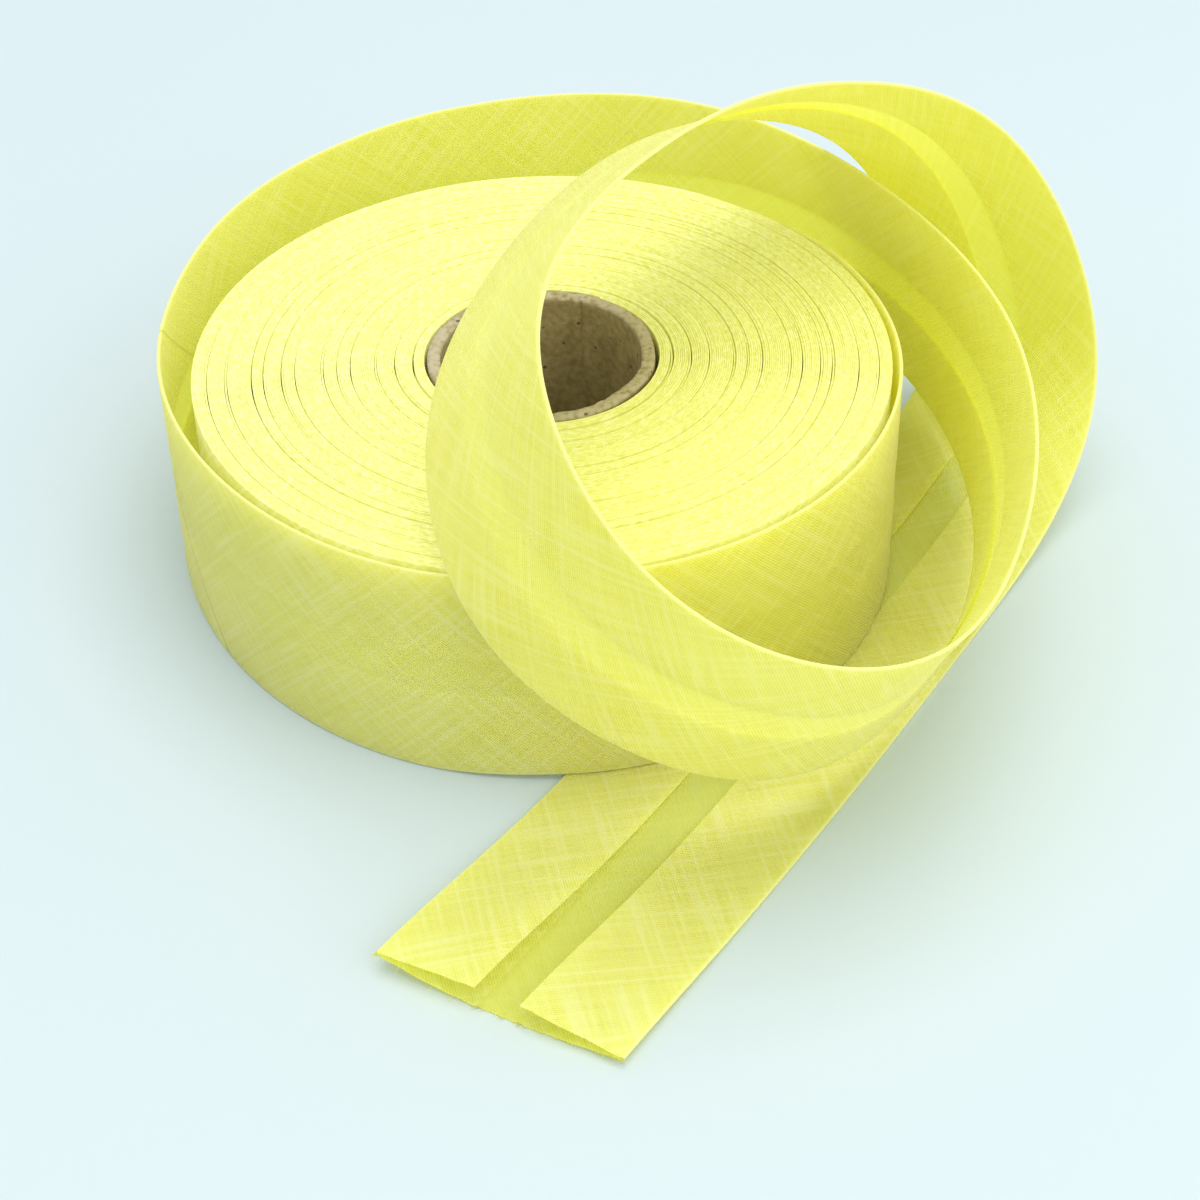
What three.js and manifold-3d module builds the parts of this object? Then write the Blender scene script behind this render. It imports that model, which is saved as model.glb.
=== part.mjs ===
// Roll of bias binding standing on its end, with its outermost turn come loose.
// Millimetres and degrees, +Z up, table at z = 0. Shapes are worked out round the axis of the roll, and the
// finished part is then centred over its own bounding box.

import * as THREE from 'three';
import { mergeVertices } from 'three/addons/utils/BufferGeometryUtils.js';
import Module from 'manifold-3d';

// Driving dimensions
const CLEARANCE = 0.3; // gap kept between neighbouring pieces
const TAIL_CLEARANCE = 1; // room above and beside the tail where it passes under the roll
const TAPE_WIDTH = 40; // finished width, from fold to fold, and so the height of the roll
const LAYER = 1; // one layer of cloth
const SLIT = 0.3; // space between a folded-in flap and the layer behind it
const FLAP_GAP = 7.2; // bare strip between the raw edges of the two flaps
const ROLL_RADIUS = 58; // wound tape, measured where the loose turn leaves it
const CORE_RADIUS = 19; // outside of the cardboard tube
const CORE_WALL = 2.2;

const TAPE_THICKNESS = 2 * LAYER + SLIT;
const HALF_WIDTH = TAPE_WIDTH / 2;
const FOLD_RADIUS = TAPE_THICKNESS / 2;

// Core: the tube is pressed a little flat on both sides of one blunt corner.
const CORE_DENTS = [-38, 4]; // bearings of the two flats
const DENT_DEPTH = 0.5;
const DENT_SPREAD = 18;
const CORE_SEGMENTS = 64;

// Wound tape: groups of turns stand at slightly different heights, with a groove after each group.
const TURN_GROUPS = [
  { outerRadius: 23.5, height: 39.6 },
  { outerRadius: 29, height: 40 },
  { outerRadius: 34, height: 39.5 },
  { outerRadius: 40, height: 39.9 },
  { outerRadius: 46.5, height: 39.5 },
  { outerRadius: 52, height: 40 },
];
const RIM_HEIGHT = 39.7; // the turns outside the last groove
const GROOVE_DEPTH = 0.9;
const GROOVE_HALF_WIDTH = 0.5;
const ROLL_SEGMENTS = 72;
const TURN_STEP = 2.8; // fall of the radius over one turn, the step where the loose turn leaves
const LEAVING_BEARING = 20; // where the loose turn leaves the wound tape

// Loose turn: the tape stands on its edge, and its outer face keeps these distances from the axis.
const LOOSE_TURN = [
  { bearing: 19.2, radius: 58.2 },
  { bearing: 0, radius: 58.9 },
  { bearing: -30, radius: 59.6 },
  { bearing: -60, radius: 59.9 },
  { bearing: -90, radius: 59.6 },
  { bearing: -115, radius: 59.3 },
  { bearing: -138, radius: 59.4 },
  { bearing: -158, radius: 60.6 },
  { bearing: -180, radius: 63.6 },
  { bearing: -200, radius: 67.4 },
  { bearing: -220, radius: 73.8 },
  { bearing: -240, radius: 80.3 },
  { bearing: -260, radius: 86 },
];

// Loop and tail: middle of the outer face, lean of the tape's first edge from upright, and the bearing
// towards which that edge leans. The tape swings round the right of the roll, rises across its front,
// passes over it, comes down behind on the right, and runs out flat under the roll.
const LOOP = [
  { x: -2, y: 85, z: 21, lean: 4, toward: 133 },
  { x: 38, y: 68, z: 28, lean: 10, toward: -143 },
  { x: 63.5, y: 37, z: 28, lean: 8, toward: -130 },
  { x: 75.5, y: -8, z: 25, lean: 7, toward: -30 },
  { x: 63.5, y: -53, z: 22, lean: 23, toward: -30 },
  { x: 44, y: -76, z: 26, lean: 35, toward: -27 },
  { x: 4, y: -78, z: 49, lean: 45, toward: -39 },
  { x: -8, y: -53, z: 69, lean: 38, toward: -44 },
  { x: 6, y: -17, z: 78, lean: 46, toward: -33 },
  { x: 37, y: 22, z: 73, lean: 60, toward: -41 },
  { x: 65, y: 39, z: 57, lean: 65, toward: -47 },
  { x: 82, y: 37, z: 25, lean: 68, toward: -44 },
  { x: 83, y: 30, z: 13, lean: 68, toward: -43 },
  { x: 73, y: 12, z: 3, lean: 82, toward: -36 },
];
const TAIL = [
  { x: 52, y: -20, z: 0, lean: 90, toward: -33 },
  { x: 34, y: -48, z: 0, lean: 90, toward: -34 },
  { x: -7, y: -107.5, z: 0, lean: 90, toward: -35 },
];
const SECTION_SPACING = 6.8; // greatest distance between sections along the loose tape
const RISE_EASE = 22; // distance over which the loose turn climbs on to the tail

// Cut end: the strip is cut slightly askew and its mouth gapes.
const CUT_SKEW = 4.7; // how much further the second edge reaches than the first
const MOUTH_LENGTH = 60;
const FIRST_EDGE = { curl: 1, lift: 2.2 }; // rise of the fold, and of the flap's raw edge above it
const SECOND_EDGE = { curl: 3, lift: 0.5 };

const radians = THREE.MathUtils.degToRad;
const smoothstep = THREE.MathUtils.smoothstep;

function polar(radius, bearing) {
  return new THREE.Vector2(radius * Math.cos(radians(bearing)), radius * Math.sin(radians(bearing)));
}

// Closed solids for cutting

const wasm = await Module();
wasm.setup();

function solidOf(geometry) {
  geometry.deleteAttribute('normal');
  geometry.deleteAttribute('uv');
  const merged = mergeVertices(geometry, 1e-4);
  return new wasm.Manifold(new wasm.Mesh({
    numProp: 3,
    vertProperties: new Float32Array(merged.attributes.position.array),
    triVerts: new Uint32Array(merged.index.array),
  }));
}

function geometryOf(solid) {
  const mesh = solid.getMesh();
  const geometry = new THREE.BufferGeometry();
  geometry.setAttribute('position', new THREE.BufferAttribute(new Float32Array(mesh.vertProperties), 3));
  geometry.setIndex(new THREE.BufferAttribute(new Uint32Array(mesh.triVerts), 1));
  geometry.computeVertexNormals();
  return geometry;
}

// Core

function coreOutline(radius) {
  const points = [];
  for (let i = 0; i < CORE_SEGMENTS; i += 1) {
    const bearing = (i / CORE_SEGMENTS) * 360 - 180;
    let dent = 0;
    for (const flat of CORE_DENTS) {
      dent += DENT_DEPTH * Math.exp(-(((bearing - flat) / DENT_SPREAD) ** 2));
    }
    points.push(polar(radius - dent, bearing));
  }
  return points;
}

function coreGeometry() {
  const shape = new THREE.Shape(coreOutline(CORE_RADIUS));
  shape.holes.push(new THREE.Path(coreOutline(CORE_RADIUS - CORE_WALL)));
  return new THREE.ExtrudeGeometry(shape, { depth: TAPE_WIDTH, bevelEnabled: false });
}

// Wound tape

function woundProfile() {
  const inner = CORE_RADIUS + CLEARANCE;
  const outer = ROLL_RADIUS + TAPE_THICKNESS;
  const points = [new THREE.Vector2(inner, 0)];
  let start = inner;
  for (const group of TURN_GROUPS) {
    const end = group.outerRadius - GROOVE_HALF_WIDTH;
    points.push(new THREE.Vector2(start, group.height));
    points.push(new THREE.Vector2(end, group.height));
    points.push(new THREE.Vector2(group.outerRadius, group.height - GROOVE_DEPTH));
    start = group.outerRadius + GROOVE_HALF_WIDTH;
  }
  points.push(new THREE.Vector2(start, RIM_HEIGHT));
  points.push(new THREE.Vector2(outer, RIM_HEIGHT));
  points.push(new THREE.Vector2(outer, 0));
  points.push(points[0].clone());
  return points.reverse();
}

function spiralOutline() {
  const points = [];
  for (let i = 0; i <= ROLL_SEGMENTS; i += 1) {
    const turned = i / ROLL_SEGMENTS;
    points.push(polar(ROLL_RADIUS - TURN_STEP * turned, LEAVING_BEARING + 360 * turned));
  }
  return points;
}

// The recess under the wound tape where the tail of the loose end passes beneath it.
function tailRecess(tailEdge) {
  const height = TAPE_THICKNESS + TAIL_CLEARANCE;
  const depth = 2 * ROLL_RADIUS;
  const box = new THREE.BoxGeometry(depth, 2 * depth, 2 * height);
  box.translate(tailEdge.distance - TAIL_CLEARANCE + depth / 2, 0, 0);
  box.rotateZ(tailEdge.bearing);
  return box;
}

function woundGeometry(tailEdge) {
  const turns = new THREE.LatheGeometry(woundProfile(), ROLL_SEGMENTS);
  turns.rotateX(Math.PI / 2);
  const spiral = new THREE.ExtrudeGeometry(new THREE.Shape(spiralOutline()), {
    depth: 3 * TAPE_WIDTH,
    bevelEnabled: false,
  });
  spiral.translate(0, 0, -TAPE_WIDTH);
  const wound = solidOf(turns).intersect(solidOf(spiral)).subtract(solidOf(tailRecess(tailEdge)));
  return geometryOf(wound);
}

// Loose end

// Smooth curve through values at increasing knots: a natural cubic spline.
function spline(knots, values) {
  const last = knots.length - 1;
  const bend = new Array(last + 1).fill(0);
  const carry = new Array(last + 1).fill(0);
  for (let i = 1; i < last; i += 1) {
    const before = knots[i] - knots[i - 1];
    const after = knots[i + 1] - knots[i];
    const slopeChange = (values[i + 1] - values[i]) / after - (values[i] - values[i - 1]) / before;
    const pivot = 2 * (before + after) - before * carry[i - 1];
    carry[i] = after / pivot;
    bend[i] = (6 * slopeChange - before * bend[i - 1]) / pivot;
  }
  for (let i = last - 1; i > 0; i -= 1) {
    bend[i] -= carry[i] * bend[i + 1];
  }
  return (at) => {
    let i = 0;
    while (i < last - 1 && at > knots[i + 1]) {
      i += 1;
    }
    const span = knots[i + 1] - knots[i];
    const b = (at - knots[i]) / span;
    const a = 1 - b;
    const sag = ((a ** 3 - a) * bend[i] + (b ** 3 - b) * bend[i + 1]) * (span ** 2 / 6);
    return a * values[i] + b * values[i + 1] + sag;
  };
}

function splineThrough(knots, points) {
  const axes = ['x', 'y', 'z'].map((axis) => spline(knots, points.map((point) => point[axis])));
  return (at) => new THREE.Vector3(axes[0](at), axes[1](at), axes[2](at));
}

// Stations are a middle point and the direction across the tape, from its second edge to its first.
function standingStation({ bearing, radius }) {
  const place = polar(radius, bearing);
  return { middle: new THREE.Vector3(place.x, place.y, HALF_WIDTH), across: new THREE.Vector3(0, 0, 1) };
}

function leaningStation({ x, y, z, lean, toward }) {
  const flat = polar(Math.sin(radians(lean)), toward);
  return {
    middle: new THREE.Vector3(x, y, z),
    across: new THREE.Vector3(flat.x, flat.y, Math.cos(radians(lean))),
  };
}

// Line of the tail's second edge where it passes under the roll: bearing and distance of its nearest point.
function tailEdgeLine() {
  const [from, to] = TAIL.map(leaningStation).map(({ middle, across }) =>
    middle.clone().addScaledVector(across, -HALF_WIDTH));
  const run = to.sub(from).normalize();
  const normal = new THREE.Vector3(-run.y, run.x, 0);
  return { normal, bearing: Math.atan2(normal.y, normal.x), distance: from.dot(normal) };
}

// Lift a section whose lower fold would dip under the table.
function restOnTable({ middle, across, inward }) {
  const foldDip = Math.min(FOLD_RADIUS * inward.z, 0);
  const lowest = middle.z - HALF_WIDTH * Math.abs(across.z) + foldDip;
  middle.z -= Math.min(lowest, 0);
}

// Route of the loose tape: curves through its stations, and the travel at which its lengths begin and end.
function tapeRoute(tailEdge) {
  const stations = [...LOOSE_TURN.map(standingStation), ...[...LOOP, ...TAIL].map(leaningStation)];
  const knots = [0];
  for (let i = 1; i < stations.length; i += 1) {
    knots.push(knots[i - 1] + stations[i].middle.distanceTo(stations[i - 1].middle));
  }
  const routeAt = splineThrough(knots, stations.map((station) => station.middle));
  const acrossAt = splineThrough(knots, stations.map((station) => station.across));
  const length = knots[knots.length - 1];
  const turnEnd = knots[LOOSE_TURN.length];
  const tailStart = knots[stations.length - TAIL.length];
  const middleAt = (travel) => {
    const middle = routeAt(travel);
    if (travel < turnEnd) {
      const overTail = middle.x * tailEdge.normal.x + middle.y * tailEdge.normal.y;
      const climbed = smoothstep(overTail, tailEdge.distance - RISE_EASE, tailEdge.distance - 1);
      middle.z += (TAPE_THICKNESS + TAIL_CLEARANCE) * climbed;
    }
    return middle;
  };
  return { middleAt, acrossAt, length, turnEnd, tailStart };
}

// Frame of one section: middle of the outer face, directions along, across and towards the flaps.
function tapeFrame(route, travel) {
  const middle = route.middleAt(travel);
  const across = route.acrossAt(travel).normalize();
  const before = route.middleAt(Math.max(travel - SECTION_SPACING, 0));
  const after = route.middleAt(Math.min(travel + SECTION_SPACING, route.length));
  const along = after.sub(before).normalize();
  const inward = along.clone().cross(across).normalize();
  const frame = { middle, across, along, inward, fromEnd: route.length - travel };
  restOnTable(frame);
  return frame;
}

// One half of the folded section, from the middle of the outer face round the fold and back along the
// flap and its slit to the middle of the inner face. Each point is [across, inward, share of flap].
function halfSection() {
  const foldStart = HALF_WIDTH - FOLD_RADIUS;
  const rawEdge = FLAP_GAP / 2;
  const points = [[foldStart / 2, 0, 0]];
  const foldSteps = 4;
  for (let i = 0; i <= foldSteps; i += 1) {
    const turn = (Math.PI * i) / foldSteps - Math.PI / 2;
    points.push([foldStart + FOLD_RADIUS * Math.cos(turn), FOLD_RADIUS * (1 + Math.sin(turn)), 0]);
  }
  points.push([rawEdge, TAPE_THICKNESS, 1]);
  points.push([rawEdge, LAYER + SLIT, 1]);
  points.push([foldStart, LAYER + SLIT, 0]);
  points.push([foldStart + SLIT / 2, LAYER + SLIT / 2, 0]);
  points.push([foldStart, LAYER, 0]);
  points.push([foldStart / 2, LAYER, 0]);
  return points;
}

function sectionOutline() {
  const half = halfSection();
  const first = half.map(([u, v, flap]) => ({ u, v, flap, edge: FIRST_EDGE }));
  const second = half.map(([u, v, flap]) => ({ u: -u, v, flap, edge: SECOND_EDGE })).reverse();
  const middle = { flap: 0, edge: FIRST_EDGE, u: 0 };
  return [{ ...middle, v: 0 }, ...first, { ...middle, v: LAYER }, ...second];
}

function tapePoint(frame, { u, v, flap, edge }) {
  const gape = smoothstep(MOUTH_LENGTH - frame.fromEnd, 0, MOUTH_LENGTH) ** 2;
  const onFlap = flap > 0 || v > LAYER;
  const foldShare = onFlap ? 1 : (u / HALF_WIDTH) ** 2;
  const rise = gape * (edge.curl * foldShare + edge.lift * flap);
  const skew = -gape * CUT_SKEW * (u / TAPE_WIDTH);
  return frame.middle.clone()
    .addScaledVector(frame.across, u)
    .addScaledVector(frame.inward, v + rise)
    .addScaledVector(frame.along, skew);
}

// One length of the loose tape as a closed solid.
function tapeGeometry(route, from, to) {
  const section = sectionOutline();
  const steps = Math.ceil((to - from) / SECTION_SPACING);
  const frames = [];
  for (let i = 0; i <= steps; i += 1) {
    frames.push(tapeFrame(route, from + ((to - from) * i) / steps));
  }
  const count = section.length;
  const positions = [];
  const triangles = [];
  frames.forEach((frame, row) => {
    section.forEach((point, column) => {
      positions.push(...tapePoint(frame, point).toArray());
      if (row > 0) {
        const here = row * count + column;
        const next = row * count + ((column + 1) % count);
        triangles.push(here - count, next, here, here - count, next - count, next);
      }
    });
  });
  const caps = THREE.ShapeUtils.triangulateShape(section.map(({ u, v }) => new THREE.Vector2(u, v)), []);
  const lastRow = (frames.length - 1) * count;
  for (const [a, b, c] of caps) {
    triangles.push(a, c, b);
    triangles.push(lastRow + a, lastRow + b, lastRow + c);
  }
  const geometry = new THREE.BufferGeometry();
  geometry.setAttribute('position', new THREE.Float32BufferAttribute(positions, 3));
  geometry.setIndex(triangles);
  geometry.computeVertexNormals();
  return geometry;
}

// Assembly

function piece(name, geometry, colour, roughness) {
  const material = new THREE.MeshStandardMaterial({ color: colour, roughness, metalness: 0 });
  const mesh = new THREE.Mesh(geometry, material);
  mesh.name = name;
  return mesh;
}

const YELLOW = 0xf2f07a;
const CARDBOARD = 0x9a8258;

const tailEdge = tailEdgeLine();
const pieces = new THREE.Group();
pieces.add(piece('core', coreGeometry(), CARDBOARD, 0.9));
pieces.add(piece('wound_tape', woundGeometry(tailEdge), YELLOW, 0.8));
const route = tapeRoute(tailEdge);
const halfSlit = CLEARANCE / 2;
const looseTurn = tapeGeometry(route, 0, route.turnEnd - halfSlit);
const loop = tapeGeometry(route, route.turnEnd + halfSlit, route.tailStart - halfSlit);
const tail = tapeGeometry(route, route.tailStart + halfSlit, route.length);
pieces.add(piece('loose_turn', looseTurn, YELLOW, 0.8));
pieces.add(piece('loop', loop, YELLOW, 0.8));
pieces.add(piece('tail', tail, YELLOW, 0.8));

const box = new THREE.Box3().setFromObject(pieces);
const centre = box.getCenter(new THREE.Vector3());
pieces.position.set(-centre.x, -centre.y, -box.min.z);

const part = new THREE.Group();
part.add(pieces);

export default part;
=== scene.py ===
"""Looks of a roll of bias binding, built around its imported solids.

Metres, +Z up, table at z = 0. Lengths named here are millimetres, turned into metres by MM when a mesh is
made. Bearings are degrees round the axis of the roll, from +X towards +Y. The tape runs outwards clockwise.
"""

import math

import bpy
import numpy as np
from mathutils import Matrix, Vector


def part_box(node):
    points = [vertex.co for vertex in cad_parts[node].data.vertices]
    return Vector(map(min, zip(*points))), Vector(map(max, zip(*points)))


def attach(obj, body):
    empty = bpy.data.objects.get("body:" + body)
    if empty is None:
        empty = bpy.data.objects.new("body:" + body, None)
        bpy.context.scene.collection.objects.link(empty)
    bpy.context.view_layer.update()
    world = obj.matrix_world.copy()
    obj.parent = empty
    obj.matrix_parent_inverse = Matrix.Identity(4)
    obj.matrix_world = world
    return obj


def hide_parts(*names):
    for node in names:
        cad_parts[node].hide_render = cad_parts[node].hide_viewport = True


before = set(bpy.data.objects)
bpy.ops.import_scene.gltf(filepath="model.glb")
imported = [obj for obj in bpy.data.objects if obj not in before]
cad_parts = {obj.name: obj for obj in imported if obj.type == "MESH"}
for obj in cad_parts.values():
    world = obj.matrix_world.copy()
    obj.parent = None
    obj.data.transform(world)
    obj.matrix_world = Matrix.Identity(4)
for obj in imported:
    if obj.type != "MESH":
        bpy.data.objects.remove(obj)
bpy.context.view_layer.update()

MM = 0.001

# Tape
TAPE_WIDTH = 40
HALF_WIDTH = TAPE_WIDTH / 2
CLOTH = 0.24  # one layer
FOLD_RADIUS = 0.28  # middle of the cloth round a folded edge
FLAP_GAP = 7.2  # bare strip between the raw edges of the two flaps
MAIN_HALF = HALF_WIDTH - FOLD_RADIUS - CLOTH / 2
RAW_EDGE = FLAP_GAP / 2

# Roll and core
CORE_RADIUS = 19
CORE_WALL = 2.2
CORE_DENTS = (-38, 4)
DENT_DEPTH = 0.5
DENT_SPREAD = 18
CORE_SEAM = 68  # bearing of the open edge of the innermost ply
WOUND_INNER = 19.4
WOUND_OUTER = 57.6
WOUND_TURNS = 104
TURN_THICKNESS = 0.33
TURN_PITCH = 0.343
LEAVING_BEARING = 60

# Loose turn: (bearing, distance of the outer face from the axis)
LOOSE_TURN = [
    (60, 57.62), (40, 57.8), (19.2, 58.2), (0, 58.9), (-30, 59.6), (-60, 59.9), (-90, 59.6),
    (-115, 59.3), (-138, 59.4), (-158, 60.6), (-180, 63.6), (-200, 67.4), (-220, 73.8),
    (-240, 80.3), (-260, 86),
]
# Loop and tail: (x, y, z of the middle of the outer face, lean of the first edge, bearing it leans to)
LOOP = [
    (-2, 85, 21, 4, 133),
    (38, 68, 28, 10, -143),
    (63.5, 37, 28, 8, -130),
    (75.5, -8, 25, 7, -30),
    (63.5, -53, 22, 23, -30),
    (44, -76, 26, 35, -27),
    (4, -78, 49, 45, -39),
    (-8, -53, 69, 38, -44),
    (6, -17, 78, 46, -33),
    (37, 22, 73, 60, -41),
    (65, 39, 57, 65, -47),
    (82, 37, 25, 68, -44),
    (83, 30, 13, 68, -43),
    (73, 12, 3, 82, -36),
]
TAIL = [
    (52, -20, 0, 90, -33),
    (34, -48, 0, 90, -34),
    (-7, -107.5, 0, 90, -35),
]
TAPE_STEPS = 640
TAIL_RISE = 0.9  # height that the loose turn and the roll climb over the tail
RISE_EASE = 22
PRESSED_LENGTH = 40  # start of the loose tape, still pressed flat on the roll

# Cut end
CUT_SKEW = 4.7
MOUTH_LENGTH = 60
FIRST_CURL, FIRST_LIFT = 1.0, 2.2
SECOND_CURL, SECOND_LIFT = 3.0, 0.5

SEAM_BEARING = -170  # where two lengths of cloth are joined by a slanting seam

core_low, core_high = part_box("core")
AXIS = Vector((core_low[0] + CORE_RADIUS * MM, (core_low[1] + core_high[1]) / 2, 0))


# Numbers

def smooth(x, low, high):
    t = np.clip((np.asarray(x, float) - low) / (high - low), 0, 1)
    return t * t * (3 - 2 * t)


def natural_spline(knots, values, at):
    """Smooth curve through rows of values at increasing knots, read at the places in at."""
    span = np.diff(knots)
    slope = np.diff(values, axis=0) / span[:, None]
    system = np.eye(len(knots))
    right = np.zeros_like(values)
    for i in range(1, len(knots) - 1):
        system[i, i - 1:i + 2] = span[i - 1], 2 * (span[i - 1] + span[i]), span[i]
        right[i] = 6 * (slope[i] - slope[i - 1])
    bend = np.linalg.solve(system, right)
    i = np.clip(np.searchsorted(knots, at) - 1, 0, len(span) - 1)
    b = ((at - knots[i]) / span[i])[:, None]
    a = 1 - b
    sag = ((a**3 - a) * bend[i] + (b**3 - b) * bend[i + 1]) * (span[i] ** 2 / 6)[:, None]
    return a * values[i] + b * values[i + 1] + sag


def wander(at, step, seed):
    """Smooth noise between -1 and 1 along the places in at, with a new value every step."""
    at = np.asarray(at, float) / step
    values = np.random.default_rng(seed).uniform(-1, 1, int(at.max()) + 3)
    i = at.astype(int)
    t = at - i
    t = t * t * (3 - 2 * t)
    return values[i] * (1 - t) + values[i + 1] * t


def polar(radius, bearing):
    angle = np.radians(bearing)
    return np.stack([radius * np.cos(angle), radius * np.sin(angle)], -1)


def unit(vectors):
    return vectors / np.linalg.norm(vectors, axis=-1, keepdims=True)


# Meshes

def add_mesh(name, points, faces, uv=None):
    """A smooth mesh from points in millimetres round the roll's axis; uv is in metres of cloth."""
    mesh = bpy.data.meshes.new(name)
    mesh.from_pydata((np.asarray(points) * MM).tolist(), [], np.asarray(faces).tolist())
    mesh.transform(Matrix.Translation(AXIS))
    if uv is not None:
        layer = mesh.uv_layers.new(name="weave")
        corner = np.empty(len(mesh.loops), np.int32)
        mesh.loops.foreach_get("vertex_index", corner)
        layer.data.foreach_set("uv", np.asarray(uv, np.float32)[corner].ravel())
    mesh.polygons.foreach_set("use_smooth", np.ones(len(mesh.polygons), bool))
    mesh.update()
    piece = bpy.data.objects.new(name, mesh)
    bpy.context.collection.objects.link(piece)
    return piece


def grid_faces(rows, columns, closed=False):
    """Quads between rows of points; closed joins the last column to the first."""
    r, c = np.meshgrid(np.arange(rows - 1), np.arange(columns if closed else columns - 1), indexing="ij")
    r, c = r.ravel(), c.ravel()
    n = (c + 1) % columns
    return np.stack([r * columns + c, r * columns + n, (r + 1) * columns + n, (r + 1) * columns + c], 1)


# Route of the loose tape

def stations():
    middles, acrosses = [], []
    for bearing, radius in LOOSE_TURN:
        middles.append([*polar(radius, bearing), HALF_WIDTH])
        acrosses.append([0, 0, 1])
    for x, y, z, lean, toward in LOOP + TAIL:
        flat = polar(math.sin(math.radians(lean)), toward)
        middles.append([x, y, z])
        acrosses.append([*flat, math.cos(math.radians(lean))])
    return np.array(middles, float), np.array(acrosses, float)


def tail_line():
    """Normal and distance from the axis of the tail's second edge, where it passes under the roll."""
    middles, acrosses = stations()
    first, second = (middles - acrosses * HALF_WIDTH)[-3:-1, :2]
    run = unit(second - first)
    normal = np.array([-run[1], run[0]])
    return normal, first @ normal


TAIL_NORMAL, TAIL_DISTANCE = tail_line()


def rise_over_tail(points):
    """Height that a standing tape climbs where it crosses over the tail."""
    return TAIL_RISE * smooth(points[:, :2] @ TAIL_NORMAL, TAIL_DISTANCE - RISE_EASE, TAIL_DISTANCE - 1)


def tape_route(steps):
    """Middles of the outer face, the directions along, across and inwards, and the travel at each step."""
    middles, acrosses = stations()
    knots = np.concatenate([[0], np.cumsum(np.linalg.norm(np.diff(middles, axis=0), axis=1))])
    travel = np.linspace(0, knots[-1], steps + 1)
    middle = natural_spline(knots, middles, travel)
    across = unit(natural_spline(knots, acrosses, travel))
    on_turn = travel < knots[len(LOOSE_TURN)]
    middle[:, 2] += np.where(on_turn, rise_over_tail(middle), 0)
    along = unit(np.gradient(middle, axis=0))
    inward = unit(np.cross(along, across))
    lowest = middle[:, 2] - HALF_WIDTH * np.abs(across[:, 2])
    middle[:, 2] -= np.minimum(lowest, 0)
    return middle, along, across, inward, travel


# Loose tape

def half_section():
    """From a raw edge over the flap, round the fold, to the middle: (across, inward, share of flap)."""
    flap = [(u, 2 * FOLD_RADIUS, (MAIN_HALF - u) / (MAIN_HALF - RAW_EDGE))
            for u in np.linspace(RAW_EDGE, MAIN_HALF, 11)]
    fold = [(MAIN_HALF + FOLD_RADIUS * math.cos(t), FOLD_RADIUS * (1 + math.sin(t)), 0)
            for t in np.linspace(math.pi / 2, -math.pi / 2, 8)[1:-1]]
    spread = np.concatenate([
        np.linspace(MAIN_HALF, RAW_EDGE + 0.8, 9),
        np.linspace(RAW_EDGE + 0.4, RAW_EDGE - 0.4, 5),
        np.linspace(RAW_EDGE - 1.2, 0, 3),
    ])
    main = [(u, 0, 0) for u in spread]
    return np.array(flap + fold + main)


def folded_section():
    """The whole section from the first raw edge to the second, with its distance over the flat cloth."""
    half = half_section()
    other = half[-2::-1] * (-1, 1, 1)
    section = np.vstack([half, other])
    step = np.linalg.norm(np.diff(section[:, :2], axis=0), axis=1)
    over = np.concatenate([[0], np.cumsum(step)])
    return section[:, 0], section[:, 1], section[:, 2], over[-1] / 2 - over


def make_loose_tape():
    middle, along, across, inward, travel = tape_route(TAPE_STEPS)
    u, v, flap, flat = folded_section()
    from_end = travel[-1] - travel
    gape = smooth(MOUTH_LENGTH - from_end, 0, MOUTH_LENGTH) ** 2
    first = u > 0
    curl = np.where(first, FIRST_CURL, SECOND_CURL)
    lift = np.where(first, FIRST_LIFT, SECOND_LIFT)
    on_flap = (flap > 0) | (v > FOLD_RADIUS)
    fold_share = np.where(on_flap, 1, (u / HALF_WIDTH) ** 2)
    # raw edges stand off a little, more or less along the tape
    slack = np.where(first[None], 0.16 + 0.12 * wander(travel, 37, 3)[:, None],
                     0.16 + 0.12 * wander(travel, 43, 4)[:, None])
    print_through = 0.07 * smooth(RAW_EDGE - np.abs(u), -0.4, 0.4) * (~on_flap)
    rise = gape[:, None] * (curl * fold_share + lift * flap) + slack * flap ** 1.5 + print_through
    pressed = 0.2 + 0.8 * smooth(travel, 0, PRESSED_LENGTH)[:, None]
    depth = CLOTH / 2 + pressed * (v[None] + rise)
    skew = -gape[:, None] * CUT_SKEW * (u / TAPE_WIDTH)
    skew[-1] += np.random.default_rng(5).normal(0, 0.06, len(u))
    points = (middle[:, None] + across[:, None] * u[None, :, None] + inward[:, None] * depth[:, :, None]
              + along[:, None] * skew[:, :, None])
    uv = np.stack(np.broadcast_arrays(flat[None] * MM, travel[:, None] * MM), -1)
    rows, columns = points.shape[:2]
    tape = add_mesh("loose_tape", points.reshape(-1, 3), grid_faces(rows, columns), uv.reshape(-1, 2))
    bearing = np.unwrap(np.arctan2(middle[:, 1], middle[:, 0]))
    seam = np.interp(-np.radians(SEAM_BEARING), -bearing, travel)
    return tape, travel[-1], seam, points[-1], along[-1]


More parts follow.
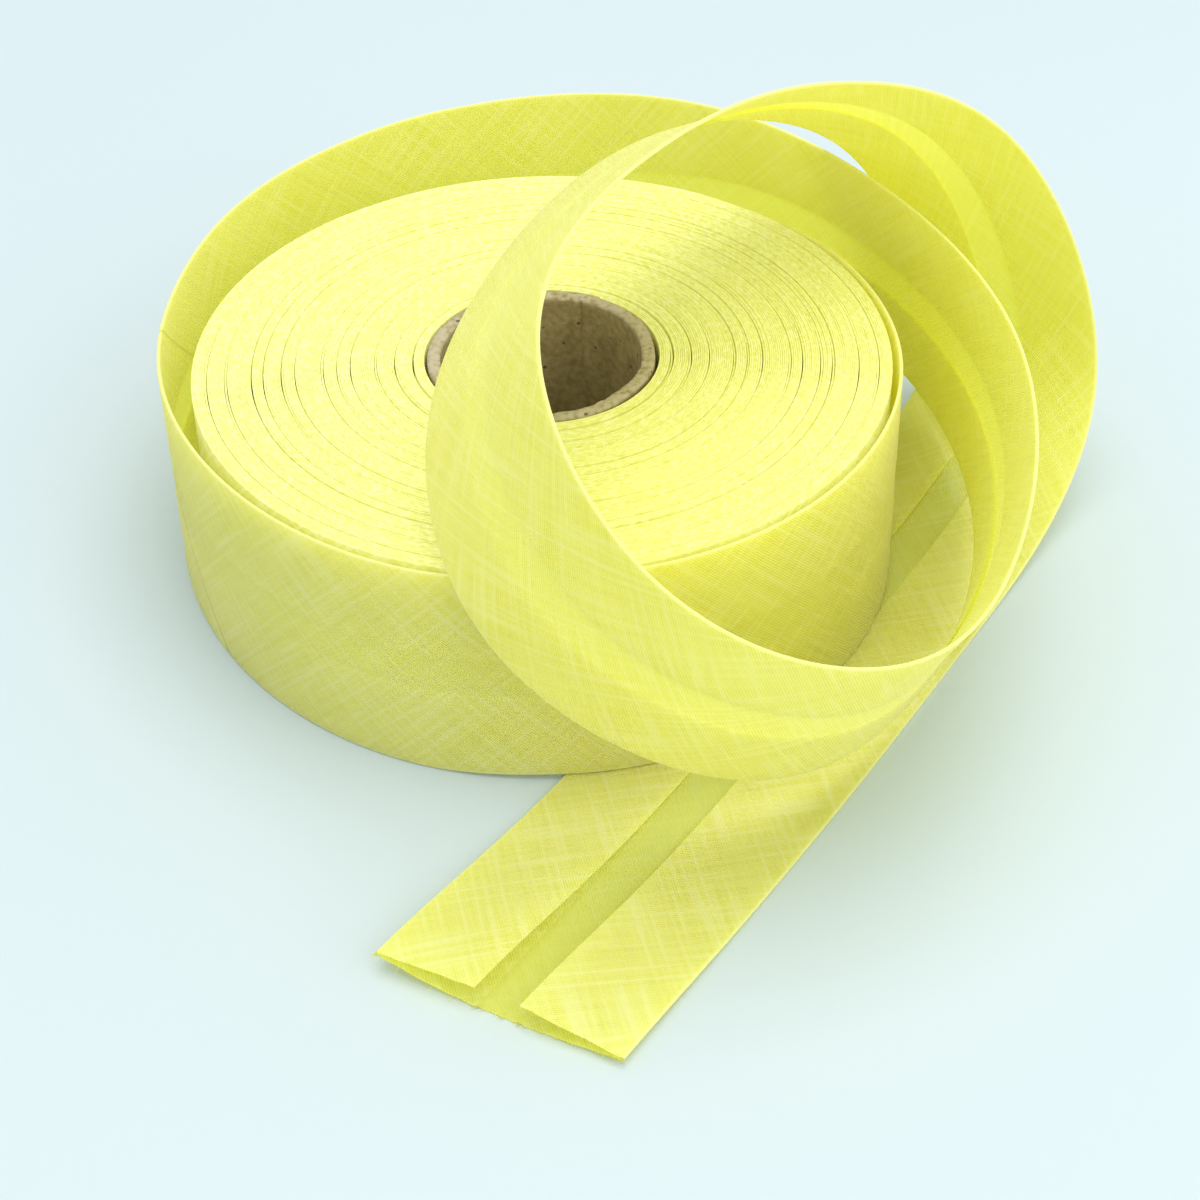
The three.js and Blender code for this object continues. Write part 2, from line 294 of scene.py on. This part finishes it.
def make_fray(cut, along):
    """Loose thread ends along the cut, each a thin bent hair."""
    rng = np.random.default_rng(8)
    hairs, sides, rings = 150, 3, 4
    points, faces = [], []
    for _ in range(hairs):
        at = rng.uniform(0, len(cut) - 1.001)
        i = int(at)
        root = cut[i] + (cut[i + 1] - cut[i]) * (at - i)
        beside = unit(cut[i + 1] - cut[i])
        aim = unit(along + beside * rng.normal(0, 0.7) + np.array([0, 0, rng.normal(0, 0.25)]))
        bend = np.array([rng.normal(0, 0.3), rng.normal(0, 0.3), rng.normal(0.05, 0.2)])
        length = rng.uniform(0.25, 0.8) if rng.random() < 0.85 else rng.uniform(0.9, 1.7)
        other = unit(np.cross(aim, beside))
        for ring in range(rings):
            t = ring / (rings - 1)
            middle = root - 0.1 * along + aim * length * t + bend * length * t * t
            middle[2] = max(middle[2], 0.08)
            radius = 0.055 * (1 - 0.6 * t)
            for side in range(sides):
                turn = 2 * math.pi * side / sides
                points.append(middle + radius * (math.cos(turn) * beside + math.sin(turn) * other))
        first = len(points) - sides * rings
        faces.extend((grid_faces(rings, sides, closed=True) + first).tolist())
    uv = np.column_stack([np.linspace(-0.03, 0.03, len(points)), np.full(len(points), 0.9)])
    return add_mesh("cut_end_fray", points, faces, uv)


# Wound turns

GAPS = [  # slack places between turns: (turn, width of the gap, number of turns it fades over)
    (5.3, 0.3, 0.9), (13.4, 0.2, 1.0), (21.7, 0.14, 1.4), (33.2, 0.16, 1.0),
    (39.0, 0.1, 0.8), (45.5, 0.16, 1.2), (58.3, 0.12, 1.0), (63.9, 0.18, 0.8),
    (72.0, 0.16, 1.1), (77.1, 0.2, 1.0), (88.6, 0.16, 1.0), (97.4, 0.14, 1.2),
]


def wound_path():
    """Turns counted from the core, and the tape's middle radius, bearing and length so far."""
    step = 1.7
    mean_radius = (WOUND_INNER + WOUND_OUTER) / 2
    count = int(WOUND_TURNS * 2 * math.pi * mean_radius / step)
    share = np.linspace(0, 1, count)
    # even steps along the tape are closer together in turns as the roll grows
    inner, outer = WOUND_INNER, WOUND_OUTER
    turn = WOUND_TURNS * (np.sqrt(inner**2 + share * (outer**2 - inner**2)) - inner) / (outer - inner)
    radius = WOUND_INNER + TURN_PITCH * turn
    for at, width, fade in GAPS:
        radius += width * smooth(turn, at - fade / 2, at + fade / 2)
    radius += (WOUND_OUTER - TURN_THICKNESS / 2 - radius[-1]) * turn / WOUND_TURNS
    bearing = LEAVING_BEARING + 360 * (WOUND_TURNS - turn)
    step_round = radius[1:] * np.diff(np.radians(-bearing))
    length = np.concatenate([[0], np.cumsum(np.hypot(np.diff(radius), step_round))])
    return turn, radius, bearing, length


def make_wound_turns():
    turn, radius, bearing, length = wound_path()
    half = TURN_THICKNESS / 2
    height = 0.1 * wander(turn, 2.3, 11) + 0.07 * wander(turn, 0.37, 12) + 0.02 * wander(length, 9, 13)
    for at, width, fade in GAPS:
        height -= 1.3 * width * np.exp(-(((turn - at) / (0.6 * fade)) ** 2))
    top = TAPE_WIDTH - 0.25 + height
    place = polar(radius, bearing)
    bottom = rise_over_tail(place) + 0.02
    outward = polar(1, bearing)
    arc = np.linspace(0, math.pi, 5)
    crown = 0.07
    side = np.concatenate([[half, half], half * np.cos(arc[1:-1]), [-half, -half]])
    drop = np.concatenate([[np.inf, crown], crown * (1 - np.sin(arc[1:-1])), [crown, np.inf]])
    at_bottom = np.isinf(drop)
    below_top = np.where(at_bottom, 0, drop)
    across = np.where(at_bottom, -HALF_WIDTH, HALF_WIDTH - below_top)
    points = np.empty((len(turn), len(side), 3))
    points[:, :, :2] = place[:, None] + outward[:, None] * side[None, :, None]
    points[:, :, 2] = np.where(at_bottom[None], bottom[:, None], top[:, None] - below_top)
    pieces = []
    cuts = [0, int(len(turn) * 0.5), len(turn) - 1]
    for name, start, stop in zip(("wound_turns_inner", "wound_turns_outer"), cuts[:-1], cuts[1:]):
        part = points[start:stop + 1]
        rows, columns = part.shape[:2]
        uv = np.stack(np.broadcast_arrays(across[None] * MM, length[start:stop + 1, None] * MM), -1)
        faces = grid_faces(rows, columns, closed=True)[:, ::-1]
        pieces.append(add_mesh(name, part.reshape(-1, 3), faces, uv.reshape(-1, 2)))
    return pieces


# Core

def core_radius(radius, bearing):
    dent = sum(np.exp(-(((bearing - flat) / DENT_SPREAD) ** 2)) for flat in CORE_DENTS)
    return radius - DENT_DEPTH * dent


def make_core():
    segments = 240
    bearing = np.arange(segments) / segments * 360 - 180
    inner = CORE_RADIUS - CORE_WALL
    worn = 0.18
    profile = [  # (radius, height, raggedness)
        (CORE_RADIUS, 0.0, 0),
        (CORE_RADIUS, 39.0, 0),
        (CORE_RADIUS, 39.6, 0.3),
        (CORE_RADIUS - worn, 39.9, 0.6),
        (CORE_RADIUS - 0.6, 40.0, 0.6),
        (inner + 1.2, 40.0, 0.6),
        (inner + 0.6, 39.9, 0.8),
        (inner + worn, 39.8, 1.0),
        (inner, 39.5, 1.0),
        (inner, 38.5, 0.2),
        (inner, 30.0, 0),
        (inner, 20.0, 0),
        (inner, 10.0, 0),
        (inner, 0.0, 0),
    ]
    rng = np.random.default_rng(21)
    rows = []
    for radius, height, ragged in profile:
        noise = rng.normal(0, 1, segments)
        noise = (noise + np.roll(noise, 1) + np.roll(noise, 2)) / 3
        groove = 0.4 * (np.abs(bearing - CORE_SEAM) < 0.8) if radius == inner and height > 25 else 0
        place = polar(core_radius(radius, bearing) + groove, bearing)
        rows.append(np.column_stack([place, height + 0.16 * ragged * noise]))
    points = np.array(rows).transpose(1, 0, 2)
    points = np.vstack([points, points[:1]])
    faces = grid_faces(segments + 1, len(profile), closed=True) % (segments * len(profile))
    return add_mesh("card_core", points[:-1].reshape(-1, 3), faces[:, ::-1])


# Materials

class Nodes:
    """Short names for the few kinds of shader node used below."""

    def __init__(self, name):
        self.material = bpy.data.materials.new(name)
        self.material.use_nodes = True
        self.tree = self.material.node_tree
        self.tree.nodes.clear()
        self.output = self.tree.nodes.new("ShaderNodeOutputMaterial")

    def add(self, kind, **inputs):
        node = self.tree.nodes.new(kind)
        for name, value in inputs.items():
            self.feed(node.inputs[name.replace("_", " ")], value)
        return node

    def feed(self, socket, value):
        if isinstance(value, bpy.types.NodeSocket):
            self.tree.links.new(value, socket)
        else:
            socket.default_value = value

    def math(self, operation, a, b=0.0):
        node = self.tree.nodes.new("ShaderNodeMath")
        node.operation = operation
        self.feed(node.inputs[0], a)
        self.feed(node.inputs[1], b)
        return node.outputs[0]

    def mix(self, factor, a, b):
        node = self.tree.nodes.new("ShaderNodeMix")
        node.data_type = "RGBA"
        self.feed(node.inputs["Factor"], factor)
        self.feed(node.inputs["A"], a)
        self.feed(node.inputs["B"], b)
        return node.outputs["Result"]

    def ramp(self, value, low, high):
        node = self.add("ShaderNodeMapRange", Value=value)
        node.interpolation_type = "SMOOTHSTEP"
        self.feed(node.inputs["From Min"], low)
        self.feed(node.inputs["From Max"], high)
        return node.outputs[0]

    def vector(self, x, y):
        return self.add("ShaderNodeCombineXYZ", X=x, Y=y).outputs[0]

    def noise(self, vector, scale, detail=2.0):
        node = self.add("ShaderNodeTexNoise", Vector=vector, Scale=scale, Detail=detail)
        node.noise_dimensions = "3D" if scale > 100 else "2D"
        return node.outputs["Fac"]


THREADS_PER_M = 2600
BARE_FROM, BARE_TO = 0.84, 0.92  # metres of tape over which the bare strip comes to lie on the table, where its painted shade deepens
FOLD_PLACE = MAIN_HALF + math.pi * FOLD_RADIUS / 2
# same cloth in two tones: the loose length's paler yellow is painted sheen, standing in for white
# surroundings reflected on its outer faces
YELLOW = (0.98, 0.975, 0.40, 1)
WOUND_YELLOW = (0.93, 0.925, 0.29, 1)
PALE = (0.99, 1.0, 0.62, 1)
DEEP = (0.74, 0.72, 0.12, 1)
# bare strip colour: partly the duller wrong side of the cloth, partly painted shade of the recess between
# the flaps
BARE_SIDE_AND_SHADE = (0.74, 0.75, 0.22, 1)
THROUGH = (0.99, 0.96, 0.07, 1)
SEAM_COLOUR = (0.55, 0.50, 0.08, 1)


def cloth_material(name, light, translucency, contrast, seam=None):
    """Plain weave at 45 degrees to the tape, with uneven threads and slubs.

    seam is the place of a slanting join, in metres of tape, and marks the cloth as the loose length, which
    also gets painted shade on its bare strip and a painted highlight along its folds.
    """
    n = Nodes(name)
    uv = n.add("ShaderNodeUVMap")
    uv.uv_map = "weave"
    split = n.add("ShaderNodeSeparateXYZ", Vector=uv.outputs[0])
    over, length = split.outputs[0], split.outputs[1]
    per_thread = THREADS_PER_M / math.sqrt(2)
    warp = n.math("MULTIPLY", n.math("ADD", length, over), per_thread)
    weft = n.math("MULTIPLY", n.math("SUBTRACT", length, over), per_thread)
    warp_gap = n.math("POWER", n.math("COSINE", n.math("MULTIPLY", warp, math.pi)), 2.0)
    weft_gap = n.math("POWER", n.math("COSINE", n.math("MULTIPLY", weft, math.pi)), 2.0)
    gaps = n.math("ADD", n.math("MULTIPLY", warp_gap, 0.75), n.math("MULTIPLY", weft_gap, 1.25))
    weave = n.math("SUBTRACT", 1.0, gaps)
    from_middle = n.math("ABSOLUTE", over)
    bare = n.math("SUBTRACT", 1.0, n.ramp(from_middle, (RAW_EDGE - 0.2) * MM, (RAW_EDGE + 0.2) * MM))
    bare_contrast = n.math("ADD", n.math("MULTIPLY", bare, 0.5 * contrast), contrast)
    open_weave = n.math("MULTIPLY", weave, bare_contrast)
    warp_run = n.noise(n.vector(n.math("MULTIPLY", warp, 0.5), n.math("MULTIPLY", weft, 0.02)), 1.0, 0.0)
    weft_run = n.noise(n.vector(n.math("MULTIPLY", warp, 0.02), n.math("MULTIPLY", weft, 0.5)), 1.0, 0.0)
    slub = n.math("MAXIMUM", n.ramp(warp_run, 0.62, 0.8), n.ramp(weft_run, 0.62, 0.8))
    thread = n.math("SUBTRACT", n.math("ADD", warp_run, weft_run), 1.0)
    cloud = n.noise(uv.outputs[0], 60.0, 1.0)
    tone = n.math("ADD", n.math("MULTIPLY", open_weave, 0.26), n.math("MULTIPLY", thread, 0.35))
    tone = n.math("ADD", tone, n.math("MULTIPLY", n.math("SUBTRACT", cloud, 0.5), 0.3))
    colour = n.mix(n.ramp(tone, -0.5, 0.2), DEEP, light)
    colour = n.mix(n.math("MULTIPLY", slub, 0.35), colour, PALE)
    if seam is not None:
        # darken the bare strip: partly its own duller wrong side, partly painted shade of the recess, with
        # more painted shade where the single layer lies on the table
        wrong_side_and_painted_shade = n.math("ADD", n.math("MULTIPLY", n.ramp(length, BARE_FROM, BARE_TO), 0.5), 0.15)
        colour = n.mix(n.math("MULTIPLY", bare, wrong_side_and_painted_shade), colour, BARE_SIDE_AND_SHADE)
        # painted highlight: a pale line along each folded edge, where the fold catches light
        from_fold = n.math("ABSOLUTE", n.math("SUBTRACT", from_middle, FOLD_PLACE * MM))
        fold = n.math("SUBTRACT", 1.0, n.ramp(from_fold, 0.0003, 0.0008))
        colour = n.mix(n.math("MULTIPLY", fold, 0.7), colour, PALE)
        off = n.math("ABSOLUTE", n.math("SUBTRACT", n.math("SUBTRACT", length, over), seam))
        line = n.math("SUBTRACT", 1.0, n.ramp(off, 0.0002, 0.0006))
        colour = n.mix(n.math("MULTIPLY", line, 0.75), colour, SEAM_COLOUR)
    relief = n.add("ShaderNodeBump", Height=weave, Strength=0.4 * contrast, Distance=0.00005)
    surface = n.add("ShaderNodeBsdfPrincipled", Base_Color=colour, Roughness=0.85, Normal=relief.outputs[0])
    surface.inputs["Sheen Weight"].default_value = 0.4
    surface.inputs["Specular IOR Level"].default_value = 0.25
    through = n.add("ShaderNodeBsdfTranslucent", Color=THROUGH, Normal=relief.outputs[0])
    blend = n.tree.nodes.new("ShaderNodeMixShader")
    blend.inputs[0].default_value = translucency
    n.tree.links.new(surface.outputs[0], blend.inputs[1])
    n.tree.links.new(through.outputs[0], blend.inputs[2])
    n.tree.links.new(blend.outputs[0], n.output.inputs["Surface"])
    return n.material


def card_material():
    n = Nodes("core_card")
    place = n.add("ShaderNodeTexCoord").outputs["Object"]
    fibres = n.noise(place, 900.0, 4.0)
    blotch = n.noise(place, 160.0, 3.0)
    dots = n.add("ShaderNodeTexVoronoi", Vector=place, Scale=330.0).outputs["Distance"]
    specks = n.math("SUBTRACT", 1.0, n.ramp(dots, 0.08, 0.15))
    tone = n.math("ADD", n.math("MULTIPLY", fibres, 0.6), n.math("MULTIPLY", blotch, 0.4))
    colour = n.mix(n.ramp(tone, 0.3, 0.7), (0.25, 0.19, 0.07, 1), (0.42, 0.33, 0.15, 1))
    high = n.add("ShaderNodeSeparateXYZ", Vector=place).outputs[2]
    rim = n.ramp(high, 0.0392, 0.0397)
    colour = n.mix(n.math("MULTIPLY", rim, n.ramp(tone, 0.3, 0.62)), colour, (0.46, 0.40, 0.26, 1))
    colour = n.mix(n.math("MULTIPLY", specks, 0.8), colour, (0.06, 0.045, 0.025, 1))
    relief = n.add("ShaderNodeBump", Height=fibres, Strength=0.5, Distance=0.0002)
    surface = n.add("ShaderNodeBsdfPrincipled", Base_Color=colour, Roughness=0.9, Normal=relief.outputs[0])
    surface.inputs["Specular IOR Level"].default_value = 0.2
    n.tree.links.new(surface.outputs[0], n.output.inputs["Surface"])
    return n.material


def floor_material():
    n = Nodes("pale_floor")
    place = n.add("ShaderNodeTexCoord").outputs["Object"]
    cloud = n.noise(place, 6.0, 0.0)
    colour = n.mix(cloud, (0.52, 0.595, 0.62, 1), (0.54, 0.615, 0.64, 1))
    surface = n.add("ShaderNodeBsdfPrincipled", Base_Color=colour, Roughness=0.6)
    surface.inputs["Specular IOR Level"].default_value = 0.3
    n.tree.links.new(surface.outputs[0], n.output.inputs["Surface"])
    return n.material


# Stage

def make_camera():
    """The photograph's view: aim point on the table side of the roll, seen from the front and above."""
    elevation, tilt = math.radians(39.74), math.radians(-1.18)
    aim, distance = Vector((8.64, -63.86, 40)), 361.9
    back = Vector((0, -math.cos(elevation), math.sin(elevation)))
    level = Vector((1, 0, 0))
    rise = back.cross(level)
    right = math.cos(tilt) * level + math.sin(tilt) * rise
    up = back.cross(right)
    data = bpy.data.cameras.new("camera")
    data.sensor_width = 36
    data.lens = 75
    data.clip_start, data.clip_end = 0.01, 20
    camera = bpy.data.objects.new("camera", data)
    turn = Matrix((right, up, back)).transposed().to_4x4()
    camera.matrix_world = Matrix.Translation(AXIS + (aim + back * distance) * MM) @ turn
    bpy.context.collection.objects.link(camera)
    bpy.context.scene.camera = camera


def make_floor():
    size = 3000
    corners = [(-size, -size, 0), (size, -size, 0), (size, size, 0), (-size, size, 0)]
    floor = add_mesh("floor", corners, [(0, 1, 2, 3)])
    floor.data.materials.append(floor_material())


def add_softbox(name, place, aim, size, power, colour=(1, 1, 1)):
    data = bpy.data.lights.new(name, "AREA")
    data.shape = "RECTANGLE"
    data.size, data.size_y = size
    data.energy = power
    data.color = colour
    light = bpy.data.objects.new(name, data)
    light.location = place
    light.rotation_mode = "QUATERNION"
    light.rotation_quaternion = (Vector(aim) - Vector(place)).to_track_quat("-Z", "Y")
    bpy.context.collection.objects.link(light)


def make_lights():
    world = bpy.data.worlds.new("studio")
    world.use_nodes = True
    background = world.node_tree.nodes["Background"]
    background.inputs["Color"].default_value = (0.93, 0.98, 1.0, 1)
    background.inputs["Strength"].default_value = 0.98
    bpy.context.scene.world = world
    add_softbox("overhead", (0.1, 0.04, 1.2), (0, 0, 0), (1.0, 1.0), 7.6)
    add_softbox("front_right", (0.7, -0.8, 0.8), (0, 0, 0.03), (1.0, 1.0), 5.0)
    bpy.context.scene.view_settings.view_transform = "Standard"


# Assembly

make_camera()
make_floor()
make_lights()

tape, tape_length, seam, cut, cut_along = make_loose_tape()
loose_cloth = cloth_material("cloth_loose", YELLOW, 0.52, 1.4, seam * MM)
wound_cloth = cloth_material("cloth_wound", WOUND_YELLOW, 0.1, 0.2)
tape.data.materials.append(loose_cloth)
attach(tape, "root")
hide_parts("loose_turn", "loop", "tail")

fray = make_fray(cut, cut_along)
fray.data.materials.append(loose_cloth)
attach(fray, "root")

turns = make_wound_turns()
for piece in turns:
    piece.data.materials.append(wound_cloth)
    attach(piece, "root")
    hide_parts("wound_tape")

core = make_core()
core.data.materials.append(card_material())
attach(core, "root")
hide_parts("core")
